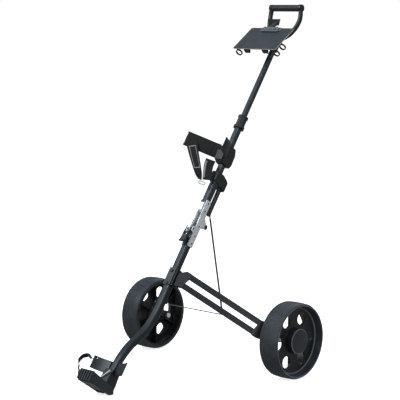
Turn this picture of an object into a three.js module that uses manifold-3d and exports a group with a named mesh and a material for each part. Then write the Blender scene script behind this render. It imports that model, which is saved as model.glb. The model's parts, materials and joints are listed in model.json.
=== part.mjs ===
// Two-wheel golf pull trolley that folds: a bent lower tube with its foot and bag cradle, two wheels
// on parallelogram legs, and an upper frame with a bag bracket, a telescopic shaft and a handle.
//
// Millimetres, +Z up. The object stands on z = 0, the bag side faces -Y, and the origin is centred
// under its bounding box. Most pieces are placed in the shaft frame, a group that leans with the
// main tube: x across, s (its Y) up along the tube's centre line, n (its Z) out of the bag side.

import * as THREE from 'three';
import { mergeVertices } from 'three/addons/utils/BufferGeometryUtils.js';
import Module from 'manifold-3d';

const wasm = await Module();
wasm.setup();

// ---------------------------------------------------------------- driving dimensions

const LEAN = THREE.MathUtils.degToRad(54.9); // main tube above the horizontal
const AXLE_Y = 137.32; // axle behind the origin
const SHAFT_RISE = 654; // height at which the tube's centre line crosses above the axle
const GAP = 0.3; // clearance between touching pieces

const WHEEL_R = 125;
const WHEEL_WIDTH = 75.6;
const WHEEL_X = 312.2; // middle of each tyre, so the object is 700 wide
const AXLE_R = 8;
const CAP_R = 42.5;

const TUBE_W = 22; // main tube across, and
const TUBE_D = 24; // front to back
const TUBE_WALL = 1.4;

const HINGE = { s: -198, n: -32 }; // main fold, behind the tube
const REAR_TUBE_N = -35;
const REAR_TUBE_END = -146;
const SADDLE_TOP = -10;
const COLLAR = { low: 164, high: 212 };
const SHAFT_HIDDEN = 90; // handle shaft inside the extension tube, as set
const HANDLE_S = 639.7;
const HANDLE_N = 24.3;
const GRIP_HALF = 57.2;
const CAP_END = 70.2; // outer face of the round end caps

const LEG_PIVOT = { x: 30, s: -415, n: -17 }; // lower leg bar on its bracket
const LEG_SPLAY = Math.PI / 4; // leg plane, turned from sideways towards the back
const LEG_DROP = THREE.MathUtils.degToRad(-9.5);
const LEG_LENGTH = 288;
const LINK = { a: 11, b: 36 }; // upper bar's pivots from the lower bar's, in the leg plane
const BAR_H = 18;
const BAR_W = 11;
const PIN_R = 3;
const STUD = { a: 160, b: -26.8 }; // stud for the strut and the brace wire, on the lower bar's centre line
const STRUT_TOP = { x: 9.5, s: -155, n: -35 };
const STRUT_R = 2.5;
const WIRE_R = 1.2;
const WIRE_EYE = { front: -13.1, middle: -14.4, back: -15.7 }; // places on the stud, along c
const WIRE_END = 1.4; // the halves stop this far from the middle, so they clear as they drop
const STUD_BACK = -16.4;

const CLAMP_WALL = 2.6;
const CLAMP_BOLTS = [-385, -428];

const PLATE_LOW = { s: 427.4, n: 89.8 }; // scorecard plate's front edge
const PLATE_HIGH = { s: 542.5, n: 45.3 };
const PLATE_HALF = 94;

// ---------------------------------------------------------------- materials

function finish(color, roughness, metalness = 0) {
  return new THREE.MeshStandardMaterial({ color, roughness, metalness });
}

const tubePaint = finish(0x3c4048, 0.38, 0.6);
const blackPlastic = finish(0x1c1d20, 0.5);
const greyPlastic = finish(0x34373c, 0.45);
const rubber = finish(0x2b2c2f, 0.85);
const steel = finish(0xd4d6d9, 0.3, 0.9);
const fabric = finish(0x17181a, 0.95);
const platePaint = finish(0x3a3f46, 0.5, 0.3);

// ---------------------------------------------------------------- groups and helpers

const cart = new THREE.Group();
cart.name = 'golf_pull_trolley';

const shaft = new THREE.Group();
shaft.position.set(0, AXLE_Y, SHAFT_RISE);
shaft.rotation.x = LEAN;
cart.add(shaft);

function part(name, geometry, material, parent = shaft) {
  const mesh = new THREE.Mesh(geometry, material);
  mesh.name = name;
  parent.add(mesh);
  return mesh;
}

function toSolid(geometry) {
  const plain = geometry.clone();
  plain.deleteAttribute('normal');
  plain.deleteAttribute('uv');
  const merged = mergeVertices(plain, 1e-4);
  return new wasm.Manifold(new wasm.Mesh({
    numProp: 3,
    vertProperties: new Float32Array(merged.attributes.position.array),
    triVerts: new Uint32Array(merged.index.array),
  }));
}

function toGeometry(solid) {
  const mesh = solid.getMesh();
  const geometry = new THREE.BufferGeometry();
  geometry.setAttribute('position', new THREE.BufferAttribute(mesh.vertProperties, 3));
  geometry.setIndex(new THREE.BufferAttribute(mesh.triVerts, 1));
  return geometry;
}

function join(...pieces) {
  return toGeometry(pieces.map(toSolid).reduce((sum, solid) => sum.add(solid)));
}

function cut(base, ...tools) {
  return toGeometry(tools.map(toSolid).reduce((rest, solid) => rest.subtract(solid), toSolid(base)));
}

// A block between two opposite corners.
function block(x0, x1, y0, y1, z0, z1) {
  const geometry = new THREE.BoxGeometry(x1 - x0, y1 - y0, z1 - z0);
  return geometry.translate((x0 + x1) / 2, (y0 + y1) / 2, (z0 + z1) / 2);
}

function roundedRect(width, height, radius, hole = null) {
  const shape = new THREE.Shape();
  const x = width / 2 - radius;
  const y = height / 2 - radius;
  shape.absarc(x, y, radius, 0, Math.PI / 2);
  shape.absarc(-x, y, radius, Math.PI / 2, Math.PI);
  shape.absarc(-x, -y, radius, Math.PI, Math.PI * 1.5);
  shape.absarc(x, -y, radius, Math.PI * 1.5, Math.PI * 2);
  if (hole) shape.holes.push(hole);
  return shape;
}

function outline(points) {
  return new THREE.Shape(points.map(([x, y]) => new THREE.Vector2(x, y)));
}

function extrude(shape, depth, curveSegments = 2) {
  return new THREE.ExtrudeGeometry(shape, { depth, bevelEnabled: false, curveSegments });
}

const AXIS = {
  x: new THREE.Vector3(1, 0, 0),
  y: new THREE.Vector3(0, 1, 0),
  z: new THREE.Vector3(0, 0, 1),
};

// An (x, n) section carried along s.
function alongS(shape, s0, s1, x = 0, n = 0) {
  const turn = new THREE.Matrix4().makeBasis(AXIS.x, AXIS.z, AXIS.y.clone().negate());
  return extrude(shape, s1 - s0).applyMatrix4(turn).translate(x, s1, n);
}

// An (s, n) outline carried along x.
function alongX(shape, x0, x1) {
  const turn = new THREE.Matrix4().makeBasis(AXIS.y, AXIS.z, AXIS.x);
  return extrude(shape, x1 - x0).applyMatrix4(turn).translate(x0, 0, 0);
}

// A round pin along x, through (s, n).
function pinX(radius, x0, x1, s, n, sides = 24) {
  const geometry = new THREE.CylinderGeometry(radius, radius, x1 - x0, sides);
  return geometry.rotateZ(-Math.PI / 2).translate((x0 + x1) / 2, s, n);
}

// A round pin along the third axis, through (x, y).
function pinZ(radius, z0, z1, x, y, sides = 24) {
  const geometry = new THREE.CylinderGeometry(radius, radius, z1 - z0, sides);
  return geometry.rotateX(Math.PI / 2).translate(x, y, (z0 + z1) / 2);
}

// A straight rod between two points.
function rod(radius, from, to, sides = 10) {
  const along = new THREE.Vector3().subVectors(to, from);
  const geometry = new THREE.CylinderGeometry(radius, radius, along.length(), sides);
  const turn = new THREE.Quaternion().setFromUnitVectors(AXIS.y, along.clone().normalize());
  return geometry.applyQuaternion(turn).translate(...from.clone().add(to).multiplyScalar(0.5));
}

// A section carried along a smooth curve through the points.
function sweep(section, points, steps, curveSegments = 1) {
  const path = new THREE.CatmullRomCurve3(points.map((p) => new THREE.Vector3(...p)),
    false, 'catmullrom', 0.5);
  return new THREE.ExtrudeGeometry(section, { steps, extrudePath: path, curveSegments });
}

// A solid of revolution about x, from (along x, radius) pairs that close on the axis or themselves.
function turned(profile, sides) {
  const points = profile.map(([x, r]) => new THREE.Vector2(r, x));
  return new THREE.LatheGeometry(points, sides).rotateZ(-Math.PI / 2);
}

// The same piece on the other side of the trolley.
function mirrorX(geometry) {
  return toGeometry(toSolid(geometry).mirror([1, 0, 0]));
}

const SIDES = [['left', -1], ['right', 1]];

function onSide(geometry, side) {
  return side < 0 ? mirrorX(geometry) : geometry;
}

// A pair of mirrored pieces, from the right-hand one.
function pair(name, geometry, material, parent = shaft) {
  for (const [word, side] of SIDES) part(`${name}_${word}`, onSide(geometry, side), material, parent);
}

// ---------------------------------------------------------------- lower frame

function lowerTube() {
  const points = [
    [0, -225, 0], [0, -320, 0], [0, -415, 0], [0, -470, 0], [0, -530, 1.5], [0, -590, 12],
    [0, -636, 31], [0, -672, 51], [0, -716, 66], [0, -752, 71], [0, -800, 74],
  ];
  const section = roundedRect(TUBE_D, TUBE_W, 5);
  const tube = sweep(section, points, 20);
  const bolts = CLAMP_BOLTS.map((s) => pinZ(PIN_R + GAP, -20, 20, 0, s, 16));
  return cut(tube, ...bolts);
}

function legClamp() {
  const half = TUBE_W / 2 + GAP;
  const channel = cut(
    block(-half - CLAMP_WALL, half + CLAMP_WALL, -434, -374, -7, TUBE_D / 2 + GAP + CLAMP_WALL),
    block(-half, half, -440, -370, -10, TUBE_D / 2 + GAP),
  );
  const bolts = CLAMP_BOLTS.map((s) => pinZ(PIN_R + GAP, 0, 30, 0, s, 16));
  return cut(channel, ...bolts);
}

function clampBolt(s) {
  const head = TUBE_D / 2 + GAP + CLAMP_WALL;
  return join(
    pinZ(PIN_R, -TUBE_D / 2 - 3, head + 1, 0, s, 16),
    pinZ(5.6, head + GAP, head + 4, 0, s, 6),
    pinZ(5.6, -TUBE_D / 2 - 4, -TUBE_D / 2 - GAP, 0, s, 6),
  );
}

// Side plate with a stepped lower half, an ear for the latch lever and a lobe for the main pin.
function lowerHingePlate() {
  const sheet = alongX(outline([
    [-288, -10], [-284, -12], [-214, -12], [-208, -24], [-206, -38], [-198, -41], [-190, -38],
    [-187, -24], [-180, -12], [-176, -8], [-176, 8], [-180, 11], [-218, 12], [-222, 24],
    [-238, 24], [-243, 12], [-284, 12], [-288, 10],
  ]), 13.6, 15.6);
  const pad = alongX(outline([[-288, -10], [-284, -12], [-228, -12], [-228, 12], [-284, 12], [-288, 10]]),
    TUBE_W / 2 + GAP, 14);
  const rivets = [-212, -248, -276].map((s) => pinX(4.2, 15, 17, s, 0, 16));
  const plate = join(sheet, pad, ...rivets);
  return cut(plate, pinX(4.3, 10, 20, HINGE.s, HINGE.n), pinX(2.8, 10, 20, -230, 18.5));
}

function upperHingePlate() {
  const sheet = alongX(outline([
    [-117, -10], [-117, 10], [-121, 12], [-204, 12], [-211, 8], [-213, -4], [-208, -22],
    [-206, -37], [-198, -41], [-190, -38], [-184, -26], [-170, -12], [-121, -12],
  ]), TUBE_W / 2 + GAP, 13.3);
  const slot = alongX(roundedRect(16, 5, 2.4), 10, 16).translate(0, -199, -8);
  const rivets = [-126, -156].map((s) => pinX(4.2, 13, 14.8, s, 0, 16));
  return cut(join(sheet, ...rivets), slot, pinX(4.3, 10, 20, HINGE.s, HINGE.n));
}

function hingePin() {
  return join(
    pinX(4, -16.5, 16.5, HINGE.s, HINGE.n),
    pinX(6.5, 15.9, 17.6, HINGE.s, HINGE.n),
    pinX(6.5, -17.6, -15.9, HINGE.s, HINGE.n),
  );
}

function hingeSleeve() {
  return cut(pinX(7, -11, 11, HINGE.s, HINGE.n), pinX(4.3, -12, 12, HINGE.s, HINGE.n));
}

// ---------------------------------------------------------------- latch

// Over-centre lever in front of the lower tube. Its pin turns in the ears of the side plates.
function latchLever() {
  const side = outline([
    [-225.4, 15.4], [-224.2, 20], [-227.8, 24], [-245, 30], [-272, 31], [-283, 35], [-286, 33], [-277, 25],
    [-255, 22], [-240, 15],
  ]);
  const body = cut(alongX(side, -10.6, 10.6), block(-6.6, 6.6, -256, -200, 10, 40));
  return join(body, pinX(2.5, -17, 17, -230, 18.5, 16));
}

// Link from the lever up to the catch: two straps joined by a cross bar and a pivot rod.
function latchLink() {
  const strap = (x0, x1) => alongX(outline([
    [-246, 21.6], [-224, 21.6], [-186, 19], [-160, 20.5], [-160, 25.5], [-186, 24], [-234, 26.5],
    [-246, 26.5],
  ]), x0, x1);
  return join(strap(-6.2, -4.2), strap(4.2, 6.2), block(-6, 6, -165, -160, 20.8, 25.3),
    pinX(1.8, -5, 5, -240, 23.5, 12));
}

function latchCatch() {
  return alongX(outline([
    [-166, 7], [-166, 17.5], [-161, 19.6], [-156, 16.5], [-139, 16.5], [-128, 15.6], [-128, 12.3],
    [-141, 12.3], [-141, 7],
  ]), -9, 9);
}

// ---------------------------------------------------------------- foot and lower cradle

const FOOT = { low: -850, high: -772, back: 58, lip: 172, half: 29, wall: 3, floor: 5 };

// Hub that closes the lower tube's end and carries the tray and both wings.
function footHub() {
  const side = outline([
    [FOOT.high, 56], [FOOT.high, 92], [-806, 100], [-822, 100], [FOOT.low - 4, 92],
    [FOOT.low + 16, 52], [-812, 52],
  ]);
  const tubeRoom = block(-TUBE_W / 2 - GAP, TUBE_W / 2 + GAP, -802.5, -700, 72 - 14, 73.5 + 14);
  return cut(aboveGround(alongX(side, -17, 17)), tubeRoom);
}

// Keeps only what stands above z = height, given in the shaft frame.
function aboveGround(geometry, height = 0) {
  const floor = block(-400, 400, -800, 800, height - 500, height);
  floor.translate(0, -AXLE_Y, -SHAFT_RISE).rotateX(-LEAN);
  return cut(geometry, floor);
}

// Open tray under the bag's base: a floor with two side walls, from the hub forward to a lip.
function footTray() {
  const { low, back, lip, half, wall, floor } = FOOT;
  const outer = alongX(outline([
    [low, back - 6], [low + 26, back + 12], [low + 30, 120], [low + 36, lip], [low, lip],
  ]), -half, half);
  const inner = block(-half + wall, half - wall, low + floor, low + 60, back - 20, lip - 11);
  const hubRoom = block(-17.3, 17.3, low - 10, low + 60, back - 20, 101);
  return cut(aboveGround(outer), inner, hubRoom);
}

// Ribbed rubber pad on the tray's front lip.
function trayPad() {
  const { low, lip } = FOOT;
  const base = block(-28, 28, low + 2, low + 37, lip + GAP, lip + 6);
  const ribs = [];
  for (let x = -25; x <= 25; x += 10) {
    ribs.push(block(x - 2, x + 2, low + 3, low + 36, lip + 5, lip + 10));
  }
  return join(base, ...ribs);
}

// Cradle wing in an (x, n) arc, carried along s. The right-hand one.
function footWing() {
  const shape = outline([
    [17.4, 80], [40, 87], [60, 97], [71, 107], [74, 104], [62, 92], [42, 81], [17.4, 73],
  ]);
  const plate = alongS(shape, -786, -744);
  const hole = rod(2.5, new THREE.Vector3(64, -750, 80), new THREE.Vector3(64, -750, 120), 12);
  return cut(plate, hole);
}

// Steel pin that holds the tray's hub.
function footPin() {
  const from = new THREE.Vector3(-10, -808, 102.6);
  const to = new THREE.Vector3(14, -782, 102.6);
  return join(rod(2.4, from, to, 12), rod(4, to, new THREE.Vector3(15.5, -780.4, 102.6), 12));
}

// ---------------------------------------------------------------- upper frame

function upperTube() {
  const bore = roundedRect(TUBE_W - 2 * TUBE_WALL, TUBE_D - 2 * TUBE_WALL, 3.6);
  return alongS(roundedRect(TUBE_W, TUBE_D, 5, bore), -138, -20);
}

const EXT = { w: 18.6, d: 20.6, wall: 1.3 };

function extensionTube() {
  const bore = roundedRect(EXT.w - 2 * EXT.wall, EXT.d - 2 * EXT.wall, 2.8);
  return alongS(roundedRect(EXT.w, EXT.d, 4, bore), -60, 206);
}

function saddle() {
  const side = outline([
    [SADDLE_TOP, -15], [SADDLE_TOP, 15], [-16, 17], [-42, 17], [-46, 13], [-48, -14], [-58, -44],
    [-50, -46], [-24, -46], [-18, -40],
  ]);
  const body = alongX(side, -14, 14);
  const tubeRoom = alongS(roundedRect(TUBE_W + 2 * GAP, TUBE_D + 2 * GAP, 5.3), -80, -19.7);
  const extRoom = alongS(roundedRect(EXT.w + 2 * GAP, EXT.d + 2 * GAP, 4.3), -30, 0);
  const rearRoom = alongS(roundedRect(12 + 2 * GAP, 14 + 2 * GAP, 3.3), -80, -29.7, 0, REAR_TUBE_N);
  return cut(body, tubeRoom, extRoom, rearRoom);
}

function rearTube() {
  return alongS(roundedRect(12, 14, 3, roundedRect(9, 11, 2)), REAR_TUBE_END, -30, 0, REAR_TUBE_N);
}

function rearPlug() {
  return join(
    alongS(roundedRect(13, 15, 3), REAR_TUBE_END - 8, REAR_TUBE_END - GAP, 0, REAR_TUBE_N),
    alongS(roundedRect(8.4, 10.4, 1.8), REAR_TUBE_END - 1, REAR_TUBE_END + 14, 0, REAR_TUBE_N),
  );
}

// Collar that clamps the handle shaft: an eight-sided body between two flanges.
function shaftCollar() {
  const ring = (flat, s0, s1) => {
    const corner = flat / 2 / Math.cos(Math.PI / 8);
    const geometry = new THREE.CylinderGeometry(corner, corner, s1 - s0, 8);
    return geometry.rotateY(Math.PI / 8).translate(0, (s0 + s1) / 2, 0);
  };
  const { low, high } = COLLAR;
  const body = join(ring(31, low, high), ring(37, low, low + 9), ring(35, high - 7, high - 2));
  const extRoom = alongS(roundedRect(EXT.w + 2 * GAP, EXT.d + 2 * GAP, 4.3), low - 5, 206.3);
  const shaftRoom = alongS(roundedRect(16, 17.4, 2.8), 200, high + 5);
  return cut(body, extRoom, shaftRoom);
}

function bagHub() {
  const side = outline([
    [20, -20], [20, 14], [28, 32], [62, 34], [84, 22], [90, 14], [90, -14], [72, -24], [34, -26],
  ]);
  const extRoom = alongS(roundedRect(EXT.w + 2 * GAP, EXT.d + 2 * GAP, 4.3), 10, 100);
  return cut(alongX(side, -16, 16), extRoom);
}

// Padded wings of the bag bracket: a curved (x, n) band carried along s.
function bagWingLeft() {
  return alongS(outline([
    [-16.4, 12], [-34, 30], [-70, 62], [-112, 98], [-107, 104], [-66, 70], [-36, 44], [-16.4, 36],
  ]), 34, 84);
}

function bagWingRight() {
  return alongS(outline([
    [16.4, 12], [32, 30], [46, 58], [54, 84], [47, 88], [38, 64], [30, 46], [16.4, 36],
  ]), 36, 82);
}

// ---------------------------------------------------------------- handle end

function handleShaft() {
  const bore = roundedRect(12.6, 14, 2);
  return alongS(roundedRect(15.4, 16.8, 2.6, bore), COLLAR.high - SHAFT_HIDDEN, 500);
}

// Open D: a socket on the shaft and two arms that rise to the ends of the grip.
function handleFrame() {
  const arm = (side) => sweep(roundedRect(17, 11, 4), [
    [side * 4, 524, 2], [side * 22, 531, 1], [side * 42, 546, 1], [side * 58, 572, 3],
    [side * 65, 598, 7], [side * 66, 618, 14], [side * 64, HANDLE_S - 2, HANDLE_N],
  ], 12);
  const socket = alongS(roundedRect(24, 25, 6), 478, 534, 0, 0);
  const inner = GRIP_HALF + GAP;
  const caps = [[-CAP_END, -inner], [inner, CAP_END]].map(([x0, x1]) => pinX(13.4, x0, x1, HANDLE_S, HANDLE_N));
  const core = pinX(5, -inner - 3, inner + 3, HANDLE_S, HANDLE_N, 16);
  const body = join(socket, arm(-1), arm(1), core, ...caps);
  return cut(body, alongS(roundedRect(16, 17.4, 2.8), 470, 500.3));
}

function gripSleeve() {
  return cut(
    pinX(11.8, -GRIP_HALF, GRIP_HALF, HANDLE_S, HANDLE_N),
    pinX(5 + GAP, -GRIP_HALF - 1, GRIP_HALF + 1, HANDLE_S, HANDLE_N, 16),
  );
}

// The scorecard plate has its own group: x across, y up the plate, z out of its face.
const plateRun = new THREE.Vector2(PLATE_HIGH.s - PLATE_LOW.s, PLATE_HIGH.n - PLATE_LOW.n);
const PLATE_LENGTH = plateRun.length();
const plateGroup = new THREE.Group();
plateGroup.position.set(0, PLATE_LOW.s, PLATE_LOW.n);
plateGroup.rotation.x = plateRun.angle();
shaft.add(plateGroup);

function scorecardPlate() {
  const shape = roundedRect(2 * PLATE_HALF, PLATE_LENGTH, 6);
  for (const x of [-82, 82]) {
    shape.holes.push(new THREE.Path().absarc(x, PLATE_LENGTH / 2 - 8, 3, 0, Math.PI * 2, true));
  }
  return join(extrude(shape, 2.6).translate(0, PLATE_LENGTH / 2, -2.6), clipSeat());
}

// Raised seat for the clip, with the clip's hinge rod along it.
function clipSeat() {
  return join(
    block(-40, 40, PLATE_LENGTH - 15, PLATE_LENGTH - 1, -1, 3.2),
    block(-30, -24, PLATE_LENGTH - 12, PLATE_LENGTH - 4, 2, 9),
    block(24, 30, PLATE_LENGTH - 12, PLATE_LENGTH - 4, 2, 9),
    pinX(1.6, -29, 29, PLATE_LENGTH - 8, 6, 12),
  );
}

const TAB_THICK = 2;
const TAB_RISE = THREE.MathUtils.degToRad(56.2); // stands the tab upright above the sloping plate

// Spring clip: a jaw that presses on the card and a finger tab that widens upward.
function clipJaw() {
  const barrel = pinX(3.2, -23.4, 23.4, PLATE_LENGTH - 8, 6.4, 16);
  const jaw = block(-38, 38, PLATE_LENGTH - 26, PLATE_LENGTH - 16, 3.6, 5.4);
  const neck = block(-22, 22, PLATE_LENGTH - 20, PLATE_LENGTH - 9, 4.2, 7.4);
  const tab = extrude(outline([
    [-19, 0], [19, 0], [19, 8], [32, 8], [42, 30], [-42, 30], [-32, 8], [-19, 8],
  ]), TAB_THICK).rotateX(TAB_RISE).translate(0, PLATE_LENGTH - 8, 6.4);
  return cut(join(barrel, jaw, neck, tab), pinX(1.9, -40, 40, PLATE_LENGTH - 8, 6, 12));
}

const RING_PLACES = [[-81, 9], [84, 9], [85, 46]];
const TEE_X = [-41, 38];

// Holder under the plate: a spine, two tee sockets and three open rings.
function teeRack() {
  const spine = block(-85, 88, 6, 12, -8, -2.9);
  const side = block(82, 88, 10, 49, -8, -2.9);
  const ring = (x, y) => join(
    cut(pinZ(13, -3, 3, 0, 0, 20).scale(1, 0.92, 1), pinZ(10, -5, 5, 0, 0, 20).scale(1, 0.9, 1)),
    block(-3, 3, 10, 18, -3, 3),
  ).rotateX(Math.PI / 2).translate(x, y, -23);
  const tee = (x) => alongX(outline([[2, -7], [18, -7], [15, -18], [9, -26], [4, -20]]), x - 9, x + 9);
  const teeBore = (x) => pinZ(4, -40, -9, x, 9, 12);
  return cut(join(spine, side, ...RING_PLACES.map(([x, y]) => ring(x, y)), ...TEE_X.map(tee)),
    ...TEE_X.map(teeBore));
}

// Post between the handle socket and the plate.
function plateBracket() {
  const side = outline([[484, 14], [484, 62], [500, 58.2], [500, 40], [520, 30], [526, 14]]);
  return alongX(side, -9, 9);
}

// ---------------------------------------------------------------- legs

// Leg pieces are made for the right-hand leg in its own frame and mirrored for the left:
// a out along the splay, b up along the tube, c out of the leg plane towards the front.
const legFrame = new THREE.Matrix4().makeRotationY(LEG_SPLAY)
  .setPosition(LEG_PIVOT.x, LEG_PIVOT.s, LEG_PIVOT.n);

function legPoint(a, b, c) {
  return new THREE.Vector3(a, b, c).applyMatrix4(legFrame);
}

function legBar(...extras) {
  const bar = extrude(roundedRect(LEG_LENGTH + BAR_H, BAR_H, BAR_H / 2 - 0.01), BAR_W, 3)
    .translate(LEG_LENGTH / 2, 0, -BAR_W / 2);
  const bores = [0, LEG_LENGTH].map((at) => pinZ(PIN_R + GAP, -20, 20, at, 0, 16));
  return cut(join(bar, ...extras), ...bores).rotateZ(LEG_DROP);
}

function upperLegBar() {
  return legBar().translate(LINK.a, LINK.b, 0).applyMatrix4(legFrame);
}

// The lower bar carries a headed stud. The strut's eye and the wire's turn on it, behind the bar.
function lowerLegBar() {
  const at = Math.hypot(STUD.a, STUD.b);
  const stud = join(
    pinZ(PIN_R, STUD_BACK, BAR_W / 2 + 1, at, 0, 16),
    pinZ(5, BAR_W / 2 - 0.1, BAR_W / 2 + 2.4, at, 0, 16),
    pinZ(5, STUD_BACK - 2.2, STUD_BACK + 0.2, at, 0, 16),
  );
  return legBar(stud).applyMatrix4(legFrame);
}

// Fork that holds one end of both bars, with its pins. Its web is away from the bars.
function fork(cheek, web) {
  const cheeks = [-8.8, 5.9].map((c) => extrude(outline(cheek), 2.9).translate(0, 0, c));
  const pins = [pinZ(PIN_R, -10.4, 10.4, 0, 0, 16), pinZ(PIN_R, -10.4, 10.4, LINK.a, LINK.b, 16)];
  return join(...cheeks, web, ...pins);
}

// Bracket on the tube: the fork and a pad that lies on the clamp's side.
function legBracket() {
  const inner = TUBE_W / 2 + 2 * GAP + CLAMP_WALL;
  const ends = fork([[-20, -14], [8, -10], [11, 6], [22, 30], [19, 44], [4, 46], [-20, 30]],
    block(-20, -11, -14, 30, -8, 8)).applyMatrix4(legFrame);
  const pad = block(inner, inner + 4, -434, -374, -13, 11);
  return cut(join(ends, pad), block(-inner, inner, -500, -300, -60, 60));
}

// Carrier at the leg's end: the outer fork, an arm back to the axle and the axle's boss.
function wheelCarrier() {
  const end = { a: LEG_LENGTH * Math.cos(LEG_DROP), b: LEG_LENGTH * Math.sin(LEG_DROP) };
  const ends = fork([[-9, -9], [9, -12], [27, -10], [27, 46], [8, 46], [-1, 38], [-9, 12]],
    block(20.5, 27, -10, 46, -8, 8)).translate(end.a, end.b, 0).applyMatrix4(legFrame);
  const axle = new THREE.Vector3(0, 0, WHEEL_R - SHAFT_RISE).applyAxisAngle(AXIS.x, -LEAN);
  const arm = rod(9, legPoint(end.a + 23, end.b + 16, 0), axle.clone().setX(253), 12);
  const seat = pinX(15, 240, 266, axle.y, axle.z);
  const bore = pinX(AXLE_R + GAP, 200, 300, axle.y, axle.z);
  return cut(join(ends, arm, seat), bore);
}

// Eye that turns on a pin of radius PIN_R.
function eye(radius, c0, c1, a, b) {
  const ring = pinZ(radius, c0, c1, a, b, 16);
  return cut(ring, pinZ(PIN_R + GAP, c0 - 1, c1 + 1, a, b, 16)).applyMatrix4(legFrame);
}

// Rod from the upper frame to the leg. Its top end is left free of the rear tube's plug.
function strut() {
  const top = new THREE.Vector3(STRUT_TOP.x, STRUT_TOP.s, STRUT_TOP.n);
  const foot = legPoint(STUD.a, STUD.b, -9.4);
  const lean = new THREE.Vector3().subVectors(top, foot).normalize();
  const stem = rod(STRUT_R, foot.addScaledVector(lean, 5.2), top);
  return join(eye(6.4, -12.6, -6.2, STUD.a, STUD.b), stem);
}

// Half of the wire between the legs, from its eye level to the middle.
function braceWire() {
  const from = legPoint(STUD.a, STUD.b - 6.5, WIRE_EYE.middle);
  const { front, back } = WIRE_EYE;
  return join(eye(7.6, back, front, STUD.a, STUD.b), rod(WIRE_R, from, from.clone().setX(WIRE_END), 8));
}

// ---------------------------------------------------------------- wheels

const HALF_WIDTH = WHEEL_WIDTH / 2;
const RIM_R = 111;
const DISC = { in: 5, out: 11 };
const WHEEL_SIDES = 36;

// Wide crowned tyre. Its outer lip runs in over the rim's edge.
function tyre() {
  const inner = RIM_R + GAP;
  return turned([
    [-HALF_WIDTH, inner], [-HALF_WIDTH, 117], [-HALF_WIDTH + 3, 121], [-HALF_WIDTH + 12, 123.6],
    [-12, 124.8], [0, WHEEL_R], [12, 124.8], [HALF_WIDTH - 12, 123.6], [HALF_WIDTH - 3, 121],
    [HALF_WIDTH, 117.5], [HALF_WIDTH, 115], [DISC.out + 2, inner], [-HALF_WIDTH, inner],
  ], WHEEL_SIDES);
}

// Rim: drum, disc with six round windows, hub barrel and ribs behind the disc.
function rim() {
  const drum = turned([
    [-HALF_WIDTH + 1, 106.5], [-HALF_WIDTH + 1, RIM_R], [DISC.out + 1.6, RIM_R],
    [DISC.out + 1.6, 108], [DISC.out, 105], [DISC.out - 2, 60], [DISC.out + 1, 48],
    [DISC.out + 1, AXLE_R + GAP], [-30, AXLE_R + GAP], [-30, 18], [DISC.in - 8, 22],
    [DISC.in - 8, 44], [DISC.in - 2, 60], [DISC.in, 102], [DISC.in - 6, 107], [-HALF_WIDTH + 1, 106.5],
  ], WHEEL_SIDES);
  const ribs = [];
  const windows = [];
  for (let i = 0; i < 6; i += 1) {
    const turn = (i * Math.PI) / 3;
    ribs.push(block(-16, DISC.in, -2, 2, 17, 108).rotateX(turn));
    windows.push(pinX(20, -30, 30, 0, 76, 14).rotateX(turn + Math.PI / 6));
  }
  return cut(join(drum, ...ribs), ...windows);
}

function hubCap() {
  const foot = DISC.out + 1 + GAP;
  return turned([
    [foot, 13], [foot, CAP_R], [foot + 19.5, CAP_R], [foot + 21.5, CAP_R - 2.5],
    [foot + 23.3, CAP_R - 16], [HALF_WIDTH - 1, 0], [foot + 12, 0], [foot + 12, 13], [foot, 13],
  ], 24);
}

// Axle through the carrier and hub, with a collar on each side of the hub.
function axle() {
  return turned([
    [-76, 0], [-76, AXLE_R], [-46, AXLE_R], [-46, 12], [-31, 12], [-31, AXLE_R],
    [DISC.out + 1.6, AXLE_R], [DISC.out + 1.6, 11], [DISC.out + 6, 11], [DISC.out + 6, 0],
  ], 16);
}

function wheel(word, side) {
  const group = new THREE.Group();
  group.position.set(side * WHEEL_X, AXLE_Y, WHEEL_R);
  group.rotation.y = side > 0 ? 0 : Math.PI;
  cart.add(group);
  part(`tyre_${word}`, tyre(), rubber, group);
  part(`rim_${word}`, rim(), greyPlastic, group);
  part(`hub_cap_${word}`, hubCap(), greyPlastic, group);
  part(`axle_${word}`, axle(), steel, group);
}

// ---------------------------------------------------------------- straps

const STRAP_THICK = 2.4;

// A flat strap through its points. Its width and the way its face looks run from [start] to [end].
function strap(points, steps, width, facing) {
  const path = new THREE.CatmullRomCurve3(points.map((p) => new THREE.Vector3(...p)),
    false, 'catmullrom', 0.5);
  const corners = [];
  const faces = [0, 3, 2, 0, 2, 1];
  for (let i = 0; i <= steps; i += 1) {
    const middle = path.getPoint(i / steps);
    const along = path.getTangent(i / steps);
    const look = new THREE.Vector3().lerpVectors(facing[0], facing[1], i / steps);
    const out = look.addScaledVector(along, -look.dot(along)).normalize();
    const across = new THREE.Vector3().crossVectors(out, along);
    const half = THREE.MathUtils.lerp(width[0], width[1], i / steps) / 2;
    for (const [u, v] of [[-1, -1], [1, -1], [1, 1], [-1, 1]]) {
      const corner = middle.clone().addScaledVector(across, u * half);
      corners.push(...corner.addScaledVector(out, v * STRAP_THICK / 2));
    }
  }
  for (let i = 0; i < steps; i += 1) {
    for (let j = 0; j < 4; j += 1) {
      const [a, b] = [4 * i + j, 4 * i + ((j + 1) % 4)];
      faces.push(a, b, b + 4, a, b + 4, a + 4);
    }
  }
  const last = 4 * steps;
  faces.push(last, last + 1, last + 2, last, last + 2, last + 3);
  const geometry = new THREE.BufferGeometry();
  geometry.setAttribute('position', new THREE.BufferAttribute(new Float32Array(corners), 3));
  return geometry.setIndex(faces);
}

const WING_FACE = new THREE.Vector3(0.638, 0, 0.769);
const TURNED_FACE = new THREE.Vector3(1, 0, -0.2);
const FRONT_FACE = new THREE.Vector3(0.66, -0.35, 0.67);

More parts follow.
